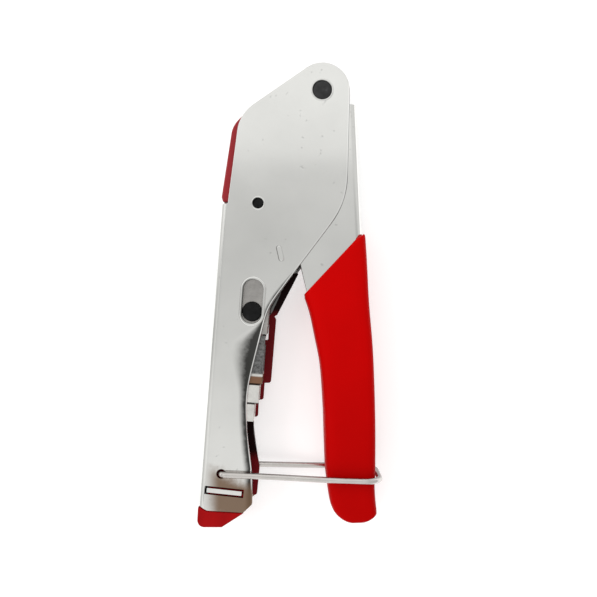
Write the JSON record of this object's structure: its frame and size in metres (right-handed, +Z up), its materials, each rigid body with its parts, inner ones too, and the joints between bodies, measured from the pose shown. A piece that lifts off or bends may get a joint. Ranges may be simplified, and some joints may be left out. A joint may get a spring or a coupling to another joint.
{
  "type": "coaxial compression tool",
  "caption": "Hand compression tool for coaxial connectors: folded steel body with a stepped cradle, sleeved swing handle, sliding plunger and wire bail latch.",
  "frame": {"origin": "bottom centre of the closed tool's box, lying on its back on a bench", "axes": "+X to the right across the handles, +Y along the tool towards its head and main pivot, +Z up out of the front cheek"},
  "size_m": [0.0783, 0.1957, 0.0283],
  "materials": {
    "chrome_sheet": "polished chrome plate over stamped steel",
    "red_plastic": "moulded red plastic",
    "red_grip": "soft moulded vinyl, satin",
    "black_oxide": "black oxide steel",
    "steel": "ground steel",
    "spring_steel": "oiled spring wire",
    "wire_steel": "satin stainless wire",
    "bronze": "sintered bronze"
  },
  "bodies": {
    "body": {"body_channel": "chrome_sheet", "window_guard": "red_plastic", "inner_liner": "red_plastic", "end_plug": "red_plastic", "retainer_plate": "chrome_sheet", "cradle": "steel", "cradle_rivets": "steel", "main_pivot_pin": "black_oxide", "pivot_bush": "bronze", "pivot_washers": "bronze", "spring_anchor_pin": "black_oxide", "return_spring": "spring_steel"},
    "handle": {"handle_channel": "chrome_sheet", "handle_grip": "red_grip", "link_pin": "black_oxide"},
    "link": {"link": "steel"},
    "plunger": {"plunger": "steel", "plunger_pin": "black_oxide", "plunger_tip": "steel", "lock_nut": "steel"},
    "bail": {"bail_wire": "wire_steel"}
  },
  "joints": [
    {"name": "handle_swing", "type": "hinge", "parent": "body", "child": "handle", "pos_m": [0.0137, 0.08625, 0.01415], "axis": [0, 0, 1], "range_deg": [0, 36], "deforming": ["return_spring"]},
    {"name": "plunger_slide", "type": "slide", "parent": "body", "child": "plunger", "axis": [0.0757, 0.9971, 0], "range_m": [0, 0.0082]},
    {"name": "link_swing", "type": "hinge", "parent": "plunger", "child": "link", "pos_m": [-0.016, -0.00695, 0.01415], "axis": [0, 0, 1], "range_deg": [-15, 0]},
    {"name": "bail_swing", "type": "hinge", "parent": "body", "child": "bail", "pos_m": [-0.0289, -0.07515, 0.01415], "axis": [0, 0, 1], "range_deg": [-110, 0], "deforming": ["bail_wire"]}
  ],
  "couplings": [
    {"joint": "plunger_slide", "follows": "handle_swing", "m_per_rad": 0.013051},
    {"joint": "link_swing", "follows": "handle_swing", "ratio": -0.406}
  ]
}
